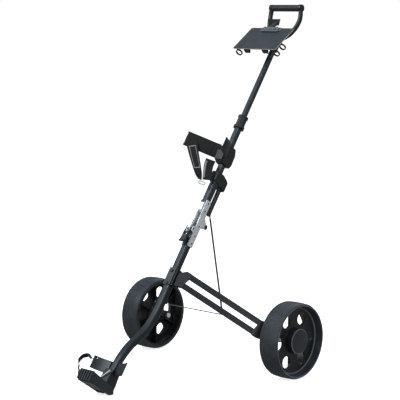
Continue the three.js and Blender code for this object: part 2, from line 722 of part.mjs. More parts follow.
function bagStrap() {
  const points = [[-85.8, 50, 91.3], [-69, 18, 78.4], [-51, -14, 65.4], [-33, -46, 52.4], [-24, -62, 46]];
  return strap(points, 12, [30, 22], [WING_FACE, TURNED_FACE]);
}

function bagStrapReturn() {
  const points = [[-5, -56, 34], [-9, -34, 40], [-14, -8, 44], [-14, 14, 46]];
  return strap(points, 10, [20, 26], [FRONT_FACE, FRONT_FACE]);
}

function strapBuckle() {
  const ring = roundedRect(24, 12, 3, roundedRect(18, 6, 2));
  return extrude(ring, 3, 3).rotateY(Math.PI / 5).translate(-16, -71, 38);
}

function footStrap() {
  const points = [[-76, -758, 108], [-92, -752, 112], [-100, -762, 124], [-92, -784, 140], [-64, -800, 158]];
  return strap(points, 14, [14, 14], [AXIS.x, AXIS.x]);
}

function strapHook() {
  return sweep(roundedRect(5, 5, 2), [
    [-62, -804, 160], [-48, -812, 172], [-35, -822, 177], [-31.5, -834, 177],
  ], 8, 2);
}

// ---------------------------------------------------------------- assembly

part('lower_tube', lowerTube(), tubePaint);
part('leg_clamp', legClamp(), greyPlastic);
part('clamp_bolt_upper', clampBolt(CLAMP_BOLTS[0]), steel);
part('clamp_bolt_lower', clampBolt(CLAMP_BOLTS[1]), steel);
pair('hinge_plate_lower', lowerHingePlate(), steel);
part('hinge_pin', hingePin(), steel);
part('hinge_sleeve', hingeSleeve(), blackPlastic);
part('latch_lever', latchLever(), greyPlastic);
part('latch_link', latchLink(), steel);

part('foot_hub', footHub(), blackPlastic);
part('foot_tray', footTray(), greyPlastic);
part('foot_tray_pad', trayPad(), rubber);
pair('foot_wing', footWing(), greyPlastic);
part('foot_pin', footPin(), steel);
part('foot_strap', footStrap(), fabric);
part('foot_strap_hook', strapHook(), blackPlastic);

part('upper_tube', upperTube(), tubePaint);
part('extension_tube', extensionTube(), tubePaint);
part('saddle', saddle(), blackPlastic);
part('rear_tube', rearTube(), tubePaint);
part('rear_tube_plug', rearPlug(), blackPlastic);
pair('hinge_plate_upper', upperHingePlate(), steel);
part('latch_catch', latchCatch(), steel);
part('shaft_collar', shaftCollar(), blackPlastic);
part('bag_bracket_hub', bagHub(), blackPlastic);
part('bag_wing_left', bagWingLeft(), fabric);
part('bag_wing_right', bagWingRight(), fabric);
part('bag_strap', bagStrap(), fabric);
part('bag_strap_return', bagStrapReturn(), fabric);
part('strap_buckle', strapBuckle(), steel);

part('handle_shaft', handleShaft(), tubePaint);
part('handle_frame', handleFrame(), blackPlastic);
part('grip_sleeve', gripSleeve(), rubber);
part('plate_bracket', plateBracket(), blackPlastic);
part('scorecard_plate', scorecardPlate(), platePaint, plateGroup);
part('clip_jaw', clipJaw(), greyPlastic, plateGroup);
part('tee_rack', teeRack(), blackPlastic, plateGroup);

pair('leg_bar_upper', upperLegBar(), tubePaint);
pair('leg_bar_lower', lowerLegBar(), tubePaint);
pair('leg_bracket', legBracket(), blackPlastic);
pair('wheel_carrier', wheelCarrier(), blackPlastic);
pair('strut', strut(), blackPlastic);
pair('brace_wire', braceWire(), steel);
for (const [word, side] of SIDES) wheel(word, side);

export default cart;
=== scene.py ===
"""Looks of a two-wheel golf pull trolley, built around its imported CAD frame. Blender 4.5.

Metres, in the trolley's own frame: +X to the right-hand wheel, -Y to the bag side, +Z up. Most pieces are
placed in the shaft frame, which leans with the main tube: x across, s up the tube's centre line,
n out of its bag side, all three given in millimetres to at().
"""

import json
import math

import bmesh
import bpy
from mathutils import Matrix, Vector
from mathutils.noise import noise

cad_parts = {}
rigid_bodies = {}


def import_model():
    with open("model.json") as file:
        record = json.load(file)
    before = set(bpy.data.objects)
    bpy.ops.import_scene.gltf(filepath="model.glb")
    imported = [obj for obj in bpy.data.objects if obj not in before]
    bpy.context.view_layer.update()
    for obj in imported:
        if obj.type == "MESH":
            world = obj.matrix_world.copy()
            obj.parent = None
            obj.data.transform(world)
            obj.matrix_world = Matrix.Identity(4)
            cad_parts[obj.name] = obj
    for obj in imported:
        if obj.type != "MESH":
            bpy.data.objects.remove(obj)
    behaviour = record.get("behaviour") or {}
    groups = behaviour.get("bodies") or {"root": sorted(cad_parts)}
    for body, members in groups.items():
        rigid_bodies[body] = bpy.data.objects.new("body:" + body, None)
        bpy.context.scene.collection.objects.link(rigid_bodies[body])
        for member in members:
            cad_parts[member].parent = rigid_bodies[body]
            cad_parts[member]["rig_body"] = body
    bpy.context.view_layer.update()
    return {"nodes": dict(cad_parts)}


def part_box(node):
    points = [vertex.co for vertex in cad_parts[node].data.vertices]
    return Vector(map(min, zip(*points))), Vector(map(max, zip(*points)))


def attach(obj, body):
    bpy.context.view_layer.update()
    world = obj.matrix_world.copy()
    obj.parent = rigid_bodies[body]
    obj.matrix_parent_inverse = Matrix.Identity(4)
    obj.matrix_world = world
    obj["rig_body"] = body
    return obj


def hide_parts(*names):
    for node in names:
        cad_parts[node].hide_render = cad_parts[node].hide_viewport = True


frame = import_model()

MM = 0.001
SIDES = (("left", -1), ("right", 1))

# ---------------------------------------------------------------- the shaft frame

LEAN = math.radians(54.9)
ACROSS = Vector((1, 0, 0))
UP = Vector((0, math.cos(LEAN), math.sin(LEAN)))
OUT = Vector((0, -math.sin(LEAN), math.cos(LEAN)))
UPPER_TUBE_MIDDLE = -79  # where the upper tube's middle lies along s


def middle(node):
    low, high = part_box(node)
    return (low + high) / 2


ORIGIN = middle("upper_tube") - UP * UPPER_TUBE_MIDDLE * MM


def at(x, s, n):
    """The point of the shaft frame at x, s, n millimetres."""
    return ORIGIN + (ACROSS * x + UP * s + OUT * n) * MM


# ---------------------------------------------------------------- materials


class Nodes:
    """A material's nodes, added one at a time and joined by name."""

    def __init__(self, name):
        self.material = bpy.data.materials.new(name)
        self.material.use_nodes = True
        self.tree = self.material.node_tree
        self.shader = self.tree.nodes["Principled BSDF"]
        self.place = self.add("ShaderNodeTexCoord").outputs["Object"]

    def add(self, kind, inputs=None, **settings):
        node = self.tree.nodes.new(kind)
        for key, value in settings.items():
            setattr(node, key, value)
        for key, value in (inputs or {}).items():
            if isinstance(value, bpy.types.NodeSocket):
                self.tree.links.new(value, node.inputs[key])
            else:
                node.inputs[key].default_value = value
        return node

    def noise(self, scale, detail=3, place=None):
        settings = {"Vector": place or self.place, "Scale": scale, "Detail": detail}
        return self.add("ShaderNodeTexNoise", settings).outputs["Fac"]

    def stretched(self, scale):
        return self.add("ShaderNodeMapping", {"Vector": self.place, "Scale": scale}).outputs["Vector"]

    def math(self, operation, a, b):
        return self.add("ShaderNodeMath", {0: a, 1: b}, operation=operation).outputs[0]

    def ramp(self, value, low, high, from_min=0.3, from_max=0.7):
        node = self.add("ShaderNodeMapRange", {"Value": value, "From Min": from_min, "From Max": from_max,
                                               "To Min": low, "To Max": high})
        return node.outputs["Result"]

    def mix(self, factor, a, b):
        node = self.add("ShaderNodeMix", data_type="RGBA")
        for key, value in (("Factor", factor), ("A", a), ("B", b)):
            socket = next(s for s in node.inputs if s.name == key and s.enabled)
            if isinstance(value, bpy.types.NodeSocket):
                self.tree.links.new(value, socket)
            else:
                socket.default_value = value
        return next(s for s in node.outputs if s.enabled)

    def set(self, **values):
        for key, value in values.items():
            socket = self.shader.inputs[key.replace("_", " ")]
            if isinstance(value, bpy.types.NodeSocket):
                self.tree.links.new(value, socket)
            else:
                socket.default_value = value

    def bump(self, height, strength, distance):
        node = self.add("ShaderNodeBump", {"Height": height, "Strength": strength, "Distance": distance})
        self.set(Normal=node.outputs["Normal"])


def grey(value, blue=0.0):
    """A near-neutral colour: its linear value, cooler by the share blue."""
    return (value * (1 - blue), value, value * (1 + blue), 1)


def worn(nodes, dark, light, bare, amount):
    """Colour that mottles between two tones and wears towards a third on sharp edges."""
    mottle = nodes.mix(nodes.ramp(nodes.noise(9), 0, 1), dark, light)
    edge = nodes.add("ShaderNodeNewGeometry").outputs["Pointiness"]
    edge = nodes.ramp(edge, 0, amount, 0.52, 0.6)
    patchy = nodes.math("MULTIPLY", edge, nodes.ramp(nodes.noise(60, 4), 0, 1, 0.4, 0.65))
    return nodes.mix(patchy, mottle, bare)


def powder_coat(name, dark, light, blue, metallic, specular):
    nodes = Nodes(name)
    nodes.set(Base_Color=worn(nodes, grey(dark, blue), grey(light, blue), grey(light * 3.4, 0.2), 0.3),
              Metallic=metallic, Specular_IOR_Level=specular,
              Roughness=nodes.ramp(nodes.noise(120, 4), 0.3, 0.44))
    nodes.bump(nodes.noise(2600, 2), 0.1, 0.0004)
    return nodes.material


def moulded(name, dark, light, roughness, blue, grain=1500):
    """Moulded plastic: fine spark-eroded grain, faint flow marks and rubbed edges."""
    nodes = Nodes(name)
    nodes.set(Base_Color=worn(nodes, grey(dark, blue), grey(light, blue), grey(light * 2.2, blue), 0.35),
              Roughness=nodes.ramp(nodes.noise(45, 5), roughness - 0.06, roughness + 0.08))
    skin = nodes.math("ADD", nodes.noise(grain, 2), nodes.math("MULTIPLY", nodes.noise(70), 0.4))
    nodes.bump(skin, 0.14, 0.0004)
    return nodes.material


def zinc_steel():
    nodes = Nodes("zinc_steel")
    brushed = nodes.noise(90, 5, nodes.stretched((1, 30, 12)))
    nodes.set(Base_Color=nodes.mix(nodes.ramp(nodes.noise(40, 4), 0, 1), grey(0.70, 0.03), grey(0.84, 0.03)),
              Metallic=0.45, Roughness=nodes.ramp(brushed, 0.36, 0.5))
    nodes.bump(brushed, 0.03, 0.0002)
    return nodes.material


def rubber(name, dark, light, roughness=0.62):
    """Dusty rubber with a fine skin and small scuffs."""
    nodes = Nodes(name)
    dust = nodes.ramp(nodes.noise(26, 6), 0, 1, 0.42, 0.68)
    nodes.set(Base_Color=nodes.mix(dust, grey(dark, 0.18), grey(light, 0.18)),
              Roughness=nodes.ramp(nodes.noise(150, 4), roughness - 0.08, roughness + 0.1))
    skin = nodes.math("ADD", nodes.noise(1300, 3), nodes.noise(330, 2))
    nodes.bump(skin, 0.2, 0.0004)
    return nodes.material


BAND_SCALE = 6.2832  # makes each light or dark band of the weave about one pitch wide


def woven(name, dark, light, pitch, sheen):
    """Plain weave: two crossing sets of threads, with slubs and sheen."""
    nodes = Nodes(name)
    scale = 1 / pitch / BAND_SCALE
    turned = nodes.add("ShaderNodeMapping",
                       {"Vector": nodes.place, "Rotation": (0.6, LEAN, 0.35)}).outputs["Vector"]
    threads = [
        nodes.add("ShaderNodeTexWave", {"Vector": turned, "Scale": scale, "Distortion": 0.35,
                                        "Detail": 1.0, "Detail Scale": 2.0},
                  wave_type="BANDS", bands_direction=axis).outputs["Fac"]
        for axis in ("X", "Y")
    ]
    weave = nodes.math("MULTIPLY", *threads)
    tone = nodes.math("ADD", nodes.math("MULTIPLY", weave, 0.7),
                      nodes.math("MULTIPLY", nodes.noise(35, 4), 0.5))
    nodes.set(Base_Color=nodes.mix(nodes.ramp(tone, 0, 1, 0.1, 0.9), grey(dark, 0.04), grey(light, 0.04)),
              Roughness=0.88, Sheen_Weight=sheen, Sheen_Roughness=0.45)
    nodes.bump(weave, 0.5, 0.0004)
    return nodes.material


def floor_paint():
    nodes = Nodes("studio_floor")
    tone = nodes.ramp(nodes.noise(3, 4), 0.0, 1.0)
    nodes.set(Base_Color=nodes.mix(tone, grey(0.9), grey(0.93)), Roughness=0.75,
              Emission_Color=(1, 1, 1, 1), Emission_Strength=0.8)
    return nodes.material


COAT = powder_coat("powder_coat", 0.024, 0.036, 0.22, 0.35, 0.5)
LEG_COAT = powder_coat("leg_powder_coat", 0.006, 0.010, 0.15, 0.0, 0.25)
BLACK = moulded("black_nylon", 0.006, 0.010, 0.4, 0.15)
GREY = moulded("grey_nylon", 0.016, 0.026, 0.42, 0.2)
PLATE = moulded("plate_paint", 0.036, 0.050, 0.5, 0.2, 2600)
PLATE_EDGE = moulded("plate_edge", 0.42, 0.55, 0.45, 0.04)
# Lighter grey: the clip jaw's own colour, and also a painted highlight on the rim beads and the hub caps'
# rims.
CLIP_GREY_AND_HIGHLIGHT = moulded("clip_grey_and_painted_highlight", 0.11, 0.16, 0.42, 0.1)
STEEL = zinc_steel()
DARK_STEEL = moulded("blackened_steel", 0.010, 0.018, 0.36, 0.1)
WIRE = moulded("sheathed_wire", 0.10, 0.14, 0.45, 0.05)
TYRE = rubber("tyre_rubber", 0.032, 0.052)
# Lighter rubber, a painted highlight along the tyres' outer lips.
LIP_HIGHLIGHT = rubber("painted_highlight_lip", 0.13, 0.19)
GRIP = rubber("grip_rubber", 0.006, 0.011, 0.55)
PAD = rubber("tray_pad_rubber", 0.030, 0.050)
CLOTH = woven("black_cloth", 0.004, 0.010, 0.0011, 0.12)
BINDING = woven("binding_tape", 0.002, 0.006, 0.0008, 0.1)
WEBBING = woven("webbing", 0.004, 0.011, 0.0014, 0.12)
LILAC = woven("grey_trim", 0.24, 0.36, 0.0009, 0.2)
PRINT = moulded("label_outline", 0.22, 0.30, 0.5, 0.02)

# ---------------------------------------------------------------- mesh helpers

SHARP = math.radians(38)


def piece(name, mesh, material, body, *nodes, slot=None):
    """A mesh as a finished piece that rides on a body and stands for CAD nodes."""
    mesh.materials.clear()
    mesh.materials.append(material)
    mesh.polygons.foreach_set("use_smooth", [True] * len(mesh.polygons))
    mesh.set_sharp_from_angle(angle=SHARP)
    mesh = with_modifiers(mesh, ("WEIGHTED_NORMAL", {"keep_sharp": True, "weight": 80}))
    thing = bpy.data.objects.new(name, mesh)
    bpy.context.scene.collection.objects.link(thing)
    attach(thing, body)
    if nodes:
        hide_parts(*nodes)
    return thing


def two_tone(thing, second, chooses):
    """Gives the faces that chooses(face) picks a second material."""
    thing.data.materials.append(second)
    for face in thing.data.polygons:
        if chooses(face):
            face.material_index = 1


def mesh_from(name, points, faces):
    mesh = bpy.data.meshes.new(name)
    mesh.from_pydata([tuple(p) for p in points], [], faces)
    work = bmesh.new()
    work.from_mesh(mesh)
    bmesh.ops.recalc_face_normals(work, faces=work.faces)
    work.to_mesh(mesh)
    work.free()
    return mesh


def with_modifiers(mesh, *settings):
    """The mesh with modifiers applied, each given as (kind, {setting: value})."""
    thing = bpy.data.objects.new("work", mesh)
    bpy.context.scene.collection.objects.link(thing)
    for kind, values in settings:
        modifier = thing.modifiers.new(kind, kind)
        for key, value in values.items():
            setattr(modifier, key, value)
    bpy.context.view_layer.update()
    shape = bpy.data.meshes.new_from_object(thing.evaluated_get(bpy.context.evaluated_depsgraph_get()))
    bpy.data.objects.remove(thing)
    return shape


def bevelled(mesh, width):
    return with_modifiers(mesh, ("BEVEL", {
        "width": width * MM, "segments": 2, "limit_method": "ANGLE",
        "angle_limit": math.radians(28), "use_clamp_overlap": True,
    }))


def refined(node, material, width=0.6, slot=None):
    """A CAD node's own shape with its edges rounded."""
    source = frame["nodes"][node]
    work = bmesh.new()
    work.from_mesh(source.data)
    bmesh.ops.remove_doubles(work, verts=work.verts, dist=0.01 * MM)
    bmesh.ops.dissolve_limit(work, angle_limit=math.radians(1), verts=work.verts, edges=work.edges)
    mesh = bpy.data.meshes.new(node + "_shape")
    work.to_mesh(mesh)
    work.free()
    return piece(node + "_piece", bevelled(mesh, width), material, source["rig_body"], node, slot=slot)


def ring_faces(rows, around, closed_rows=False):
    """Faces between rows of points. The last row meets the first, or both end rows are capped."""
    faces = []
    for i in range(rows if closed_rows else rows - 1):
        for j in range(around):
            a, b = i * around + j, i * around + (j + 1) % around
            c, d = ((i + 1) % rows) * around + (j + 1) % around, ((i + 1) % rows) * around + j
            faces.append((a, b, c, d))
    if not closed_rows:
        faces.append(tuple(range(around))[::-1])
        faces.append(tuple(range((rows - 1) * around, rows * around)))
    return faces


def lathe(name, profile, centre, segments, side=1):
    """A solid of revolution about x, from (millimetres outward, radius) pairs."""
    points = []
    for i in range(segments):
        turn = 2 * math.pi * i / segments
        for out, radius in profile:
            spot = Vector((side * out, radius * math.cos(turn), radius * math.sin(turn)))
            points.append(centre + spot * MM)
    mesh = mesh_from(name, points, ring_faces(segments, len(profile), closed_rows=True))
    return with_modifiers(mesh, ("WELD", {"merge_threshold": 0.002 * MM}))


def smooth_path(points, steps):
    """Points along a Catmull-Rom curve through the given ones."""
    points = [Vector(p) for p in points]
    ends = [2 * points[0] - points[1]] + points + [2 * points[-1] - points[-2]]
    path = []
    for i in range(1, len(ends) - 2):
        a, b, c, d = ends[i - 1:i + 3]
        for k in range(steps):
            t = k / steps
            path.append(0.5 * (2 * b + (c - a) * t + (2 * a - 5 * b + 4 * c - d) * t * t
                               + (3 * b - a - 3 * c + d) * t ** 3))
    return path + [points[-1]]


def sweep(name, section, path, facing):
    """A closed section carried along a path. Its second axis keeps as near as it can to facing."""
    points = []
    for i, place in enumerate(path):
        along = (path[min(i + 1, len(path) - 1)] - path[max(i - 1, 0)]).normalized()
        out = facing(i / (len(path) - 1)) if callable(facing) else facing
        out = (out - along * out.dot(along)).normalized()
        across = out.cross(along)
        shape = section(i / (len(path) - 1)) if callable(section) else section
        points += [place + (across * u + out * v) * MM for u, v in shape]
    return mesh_from(name, points, ring_faces(len(path), len(points) // len(path)))


def rounded(width, height, radius, steps=5):
    """A rounded rectangle as points round its middle."""
    points = []
    for corner, (sx, sy) in enumerate(((1, 1), (-1, 1), (-1, -1), (1, -1))):
        for k in range(steps + 1):
            turn = math.pi / 2 * (corner + k / steps)
            points.append((sx * (width / 2 - radius) + radius * math.cos(turn),
                           sy * (height / 2 - radius) + radius * math.sin(turn)))
    return points


def circle(radius, sides=20):
    return [(radius * math.cos(2 * math.pi * k / sides), radius * math.sin(2 * math.pi * k / sides))
            for k in range(sides)]


def joined(name, *meshes):
    """Several meshes as one."""
    work = bmesh.new()
    for mesh in meshes:
        work.from_mesh(mesh)
    out = bpy.data.meshes.new(name)
    work.to_mesh(out)
    work.free()
    return out


# ---------------------------------------------------------------- wheels

CROWN = 2.0  # tyre's middle stands this much proud of its edges
SHOULDER = 8  # plain band between the ribs and each edge
RIB_PITCH = 5
RIB_DEPTH = 1.1


def within(face, centre, side, outward, radii):
    """Whether a wheel's face lies between two distances outward and between two radii, in mm."""
    spot = (face.center - centre) / MM
    return (outward[0] < side * spot.x < outward[1]
            and radii[0] < math.hypot(spot.y, spot.z) < radii[1])


def wheel_sizes(word):
    low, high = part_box(f"tyre_{word}")
    return (low + high) / 2, (high.x - low.x) / 2 / MM, (high.z - low.z) / 2 / MM


def tyre(word, side):
    """Crowned tyre with fine ribs all round, a thin outer lip with a painted highlight along it, and a deep
    sloping mouth.
    """
    centre, half, radius = wheel_sizes(word)
    tread = half - SHOULDER
    profile = []
    ribs = int(2 * tread / RIB_PITCH)
    for k in range(4 * ribs + 1):
        x = -tread + 2 * tread * k / (4 * ribs)
        groove = RIB_DEPTH if k % 4 in (1, 2) else 0
        profile.append((x, radius - 0.15 - CROWN * (x / half) ** 2 - groove))
    outer = [(half - 5, radius - 2.9), (half - 2, radius - 4.4), (half - 0.3, radius - 6.6),
             (half - 0.2, radius - 9), (half - 1.4, radius - 10.2), (half - 8, radius - 11.2),
             (20, radius - 13.2), (14, radius - 13.7), (13.4, radius - 14)]
    inner = [(-half + 0.2, radius - 14), (-half + 0.1, radius - 8.5), (-half + 0.9, radius - 5.4),
             (-half + 3, radius - 3.6), (-half + 5.5, radius - 2.7)]
    mesh = lathe("tyre", profile + outer + inner, centre, 144, side)
    thing = piece(f"tyre_{word}_ribbed", mesh, TYRE, f"wheel_{word}", f"tyre_{word}", slot="rubber")
    # Painted highlight: faces on the outer lip take the lighter rubber, standing in for light caught along
    # the lip.
    lip = ((half - 1.6, half), (radius - 11, radius - 7))
    two_tone(thing, LIP_HIGHLIGHT, lambda face: within(face, centre, side, *lip))


WINDOW_R = 20
WINDOW_AT = 76
WINDOWS = 6
WINDOW_TURN = math.pi / 3
CUT_REACH = 0.03  # how far a window's cutter reaches to each side, in metres


def rim(word, side):
    """Dished rim: drum with a bead that carries a painted highlight, six round windows in the disc and ribs
    behind it.
    """
    centre, half, radius = wheel_sizes(word)
    profile = [(-half + 1.2, 106.6), (-half + 1.1, 110.4), (-half + 2, 110.9), (12, 110.9), (13.2, 110.4),
               (13.2, 108.2), (12.2, 107.4), (11.4, 105.6), (10.8, 103), (10, 92), (9.2, 60), (10.4, 52),
               (12, 48), (12, 8.4), (-30, 8.4), (-30, 17), (-29, 18), (-3.4, 21.4), (-3, 23), (-3, 44),
               (3, 60), (5, 102), (4, 105), (-1, 106.8)]
    disc = lathe("rim", profile, centre, 108, side)
    cutters = []
    for k in range(WINDOWS):
        turn = WINDOW_TURN * k
        spot = centre + Vector((0, math.cos(turn), math.sin(turn))) * WINDOW_AT * MM
        ends = [spot - ACROSS * CUT_REACH, spot + ACROSS * CUT_REACH]
        cutters.append(sweep("cutter", circle(WINDOW_R, 48), ends, UP))
    cutter = bpy.data.objects.new("cutter", joined("cutter", *cutters))
    bpy.context.scene.collection.objects.link(cutter)
    ribs = []
    for k in range(WINDOWS):
        turn = Matrix.Rotation(WINDOW_TURN * k, 3, "X")
        ends = [centre + turn @ Vector((side * -5.5, 0, r)) * MM for r in (18, 107)]
        ribs.append(sweep("rib", rounded(4, 20, 1.2, 3), ends, ACROSS))
    cut = ("BOOLEAN", {"operation": "DIFFERENCE", "object": cutter, "solver": "EXACT"})
    soften = ("BEVEL", {"width": 1.1 * MM, "segments": 3, "limit_method": "ANGLE",
                        "angle_limit": math.radians(50), "use_clamp_overlap": True})
    solid = with_modifiers(disc, cut, soften)
    bpy.data.objects.remove(cutter)
    mesh = joined("rim", solid, *ribs)
    thing = piece(f"rim_{word}_dished", mesh, BLACK, f"wheel_{word}", f"rim_{word}", slot="grey_plastic")
    # Painted highlight: the bead's ring of faces takes the lighter grey, standing in for light caught along
    # the bead.
    two_tone(thing, CLIP_GREY_AND_HIGHLIGHT, lambda face: within(face, centre, side, (11.2, 14), (105, 111)))


def hub_cap(word, side):
    """Deep cap with a straight side, a fine line near its edge, a painted highlight on its rounded rim and a
    gently crowned face.
    """
    centre = wheel_sizes(word)[0]
    profile = [(12.4, 13), (12.4, 41.4), (13, 42.3), (30.6, 42.3), (32.2, 41.7), (33.1, 40.2), (33.4, 38.6),
               (33, 37.8), (33.2, 37), (34.4, 30), (35.3, 22), (36, 13), (36.5, 5), (36.6, 0.2), (24.4, 0.2),
               (24.4, 13)]
    mesh = lathe("hub_cap", profile, centre, 96, side)
    thing = piece(f"hub_cap_{word}_crowned", mesh, GREY, f"wheel_{word}", f"hub_cap_{word}",
                  slot="grey_plastic")
    # Painted highlight: the faces of the cap's rounded rim take the lighter grey.
    two_tone(thing, CLIP_GREY_AND_HIGHLIGHT, lambda face: within(face, centre, side, (32, 34), (38.6, 42)))


for word, side in SIDES:
    tyre(word, side)
    rim(word, side)
    hub_cap(word, side)
    refined(f"axle_{word}", STEEL, 0.5, "bright_steel")

# ---------------------------------------------------------------- tubes

TUBE_W = 22
TUBE_D = 24
GROOVE = 0.7
GROOVE_AT = 0.28  # the grooves' distance from the side's middle, as a share of its depth
GROOVE_LIP = 1.1  # half a groove's width at the surface,
GROOVE_FLOOR = 0.5  # and at its bottom


def grooved(width, depth, radius, groove=GROOVE):
    """A rounded rectangle with a shallow groove along each wide side, near its front and back."""
    points = rounded(width, depth, radius, 6)
    out = []
    for (u, v), (u2, v2) in zip(points, points[1:] + points[:1]):
        out.append((u, v))
        if abs(u - u2) < 1e-6 and abs(v - v2) > depth / 3:
            step = 1 if v2 > v else -1
            sign = 1 if u > 0 else -1
            for place in (-GROOVE_AT, GROOVE_AT):
                middle_v = step * place * depth
                out += [(u, middle_v - step * GROOVE_LIP),
                        (u - sign * groove, middle_v - step * GROOVE_FLOOR),
                        (u - sign * groove, middle_v + step * GROOVE_FLOOR),
                        (u, middle_v + step * GROOVE_LIP)]
    return out


LOWER_ROUTE = [(0, -225, 0), (0, -320, 0), (0, -415, 0), (0, -470, 0), (0, -530, 1.5), (0, -590, 12),
               (0, -636, 31), (0, -672, 51), (0, -716, 66), (0, -752, 71), (0, -800, 74)]


def lower_tube():
    path = smooth_path([at(*p) for p in LOWER_ROUTE], 8)
    mesh = sweep("lower_tube", grooved(TUBE_W, TUBE_D, 4.4), path, OUT)
    piece("lower_tube_bent", mesh, COAT, "lower_frame", "lower_tube", slot="tube_paint")


def straight_tube(node, body, width, depth, radius, low, high, n=0):
    """A square tube between two places along s, closed at both ends."""
    outer = grooved(width, depth, radius, GROOVE * min(1, width / TUBE_W))
    shell = sweep(node, outer, [at(0, low, n), at(0, high, n)], OUT)
    piece(node + "_drawn", shell, COAT, body, node, slot="tube_paint")


lower_tube()
straight_tube("upper_tube", "upper_frame", TUBE_W, TUBE_D, 4.4, -138, -20)
straight_tube("extension_tube", "upper_frame", 18.6, 20.6, 3.6, -60, 206)
straight_tube("rear_tube", "upper_frame", 12, 14, 2.8, -146, -30, -35)
straight_tube("handle_shaft", "handle", 15.4, 16.8, 2.6, 122, 500)
for word, side in SIDES:
    refined(f"leg_bar_upper_{word}", LEG_COAT, 1.6, "tube_paint")
    refined(f"leg_bar_lower_{word}", LEG_COAT, 1.2, "tube_paint")

# ---------------------------------------------------------------- hinge, latch and fittings

for node in ("hinge_plate_lower_left", "hinge_plate_lower_right", "hinge_plate_upper_left",
             "hinge_plate_upper_right", "latch_catch", "latch_link", "foot_pin"):
    refined(node, STEEL, 0.4, "bright_steel")
for node in ("hinge_pin", "clamp_bolt_upper", "clamp_bolt_lower"):
    refined(node, DARK_STEEL, 0.4, "bright_steel")
for node, width in (("hinge_sleeve", 0.6), ("saddle", 1.6), ("rear_tube_plug", 0.8), ("shaft_collar", 1.0),
                    ("bag_bracket_hub", 1.8), ("plate_bracket", 1.2), ("tee_rack", 0.7),
                    ("leg_bracket_left", 0.7), ("leg_bracket_right", 0.7), ("wheel_carrier_left", 0.7),
                    ("wheel_carrier_right", 0.7), ("foot_hub", 1.4)):
    refined(node, BLACK, width, "black_plastic")
for node, width in (("latch_lever", 0.7), ("leg_clamp", 0.8), ("foot_tray", 0.9)):
    refined(node, GREY, width)
for word, side in SIDES:
    refined(f"foot_wing_{word}", GREY, 0.8, "grey_plastic")
    refined(f"strut_{word}", DARK_STEEL, 0.4, "painted_steel")
    refined(f"brace_wire_{word}", WIRE, 0.2, "bright_steel")
refined("foot_tray_pad", PAD, 0.7, "rubber")


LEG = {"x": 30, "s": -415, "n": -17}  # lower leg bar's pivot, in the shaft frame
STUD = {"a": 160, "b": -26.8}
SPLAY = math.sqrt(0.5)
STRUT_TOP = (9.5, -155, -35)  # in the shaft frame, on the right-hand side
STRUT_EYE = -9.4  # how far out of the leg's plane the strut's eye lies,
WIRE_EYE = -14.4  # and the wire's
WIRE_DROP = 6.5  # from the stud down the tube to the wire
WIRE_END = 1.6  # from the trolley's middle to the end of each sheath
SLEEVE_R = 3.1
SHEATH_R = 1.75


def leg_at(side, a, b, c):
    """The point of a leg's frame: a out along the splay, b up the tube, c out of the leg's plane."""
    return at(side * (LEG["x"] + SPLAY * (a + c)), LEG["s"] + b, LEG["n"] + SPLAY * (c - a))


def sleeves(word, side):
    """Plastic sleeve on a strut and on its half of the brace wire."""
    foot = leg_at(side, STUD["a"], STUD["b"], STRUT_EYE)
    top = at(side * STRUT_TOP[0], *STRUT_TOP[1:])
    stem = [foot.lerp(top, share) for share in (0.04, 0.97)]
    piece(f"strut_{word}_sleeve", sweep("sleeve", circle(SLEEVE_R), stem, OUT), BLACK, f"strut_{word}",
          slot="painted_steel")
    start = leg_at(side, STUD["a"], STUD["b"] - WIRE_DROP, WIRE_EYE)
    end = Vector((side * WIRE_END * MM, start.y, start.z))
    sheath = sweep("sheath", circle(SHEATH_R, 12), [start.lerp(end, 0.03), end], OUT)
    piece(f"brace_wire_{word}_sheath", sheath, WIRE, f"wire_{word}", slot="bright_steel")


for word, side in SIDES:
    sleeves(word, side)


def rivet_mark(name, body, x, s):
    """Dark head set in a hinge plate's rivet."""
    side = 1 if x > 0 else -1
    profile = [(0, 0.2), (0, 2.9), (0.35, 2.6), (0.5, 0.2)]
    mesh = lathe(name, profile, at(x, s, 0), 24, side)
    piece(name, mesh, DARK_STEEL, body, slot="bright_steel")


# Each hinge plate's body, its outer face's distance from the middle, and its rivets along s.
RIVETS = (("lower_frame", 17, (-212, -248, -276)), ("upper_frame", 14.8, (-126, -156)))

for word, side in SIDES:
    for body, x, places in RIVETS:
        for k, s in enumerate(places):
            rivet_mark(f"rivet_{body}_{word}_{k + 1}", body, side * x, s)

LINK_FACE = [(0, -231, 27.3), (0, -210, 26.4), (0, -186, 25.0), (0, -166, 26.3)]


def latch_link_face():
    """Pressed plate over the link's two arms."""
    path = smooth_path([at(*p) for p in LINK_FACE], 6)
    mesh = sweep("latch_link_face", rounded(12.2, 1.2, 0.5, 3), path, OUT)
    piece("latch_link_face", mesh, STEEL, "latch_link", slot="bright_steel")


latch_link_face()

# ---------------------------------------------------------------- scorecard plate and its clip

PLATE_LOW = at(0, 427.4, 89.8)
PLATE_RUN = (at(0, 542.5, 45.3) - PLATE_LOW).normalized()
PLATE_OUT = ACROSS.cross(PLATE_RUN)
TAB_FOOT = 10  # the clip's finger tab starts this far above the plate's face,
TAB_SIDE = 14  # lies this far to the right of its solid's middle
TAB_NARROWED = 0.66  # and is this share of its solid's width

plate = refined("scorecard_plate", PLATE, 0.7, "painted_steel")
two_tone(plate, PLATE_EDGE, lambda face: abs(face.normal.dot(PLATE_OUT)) < 0.75)
clip = refined("clip_jaw", CLIP_GREY_AND_HIGHLIGHT, 0.4, "grey_plastic")
for vertex in clip.data.vertices:
    if (vertex.co - PLATE_LOW).dot(PLATE_OUT) > TAB_FOOT * MM:
        vertex.co.x = TAB_SIDE * MM + TAB_NARROWED * vertex.co.x
two_tone(clip, BLACK, lambda face: (face.center - PLATE_LOW).dot(PLATE_OUT) > TAB_FOOT * MM)

# ---------------------------------------------------------------- handle

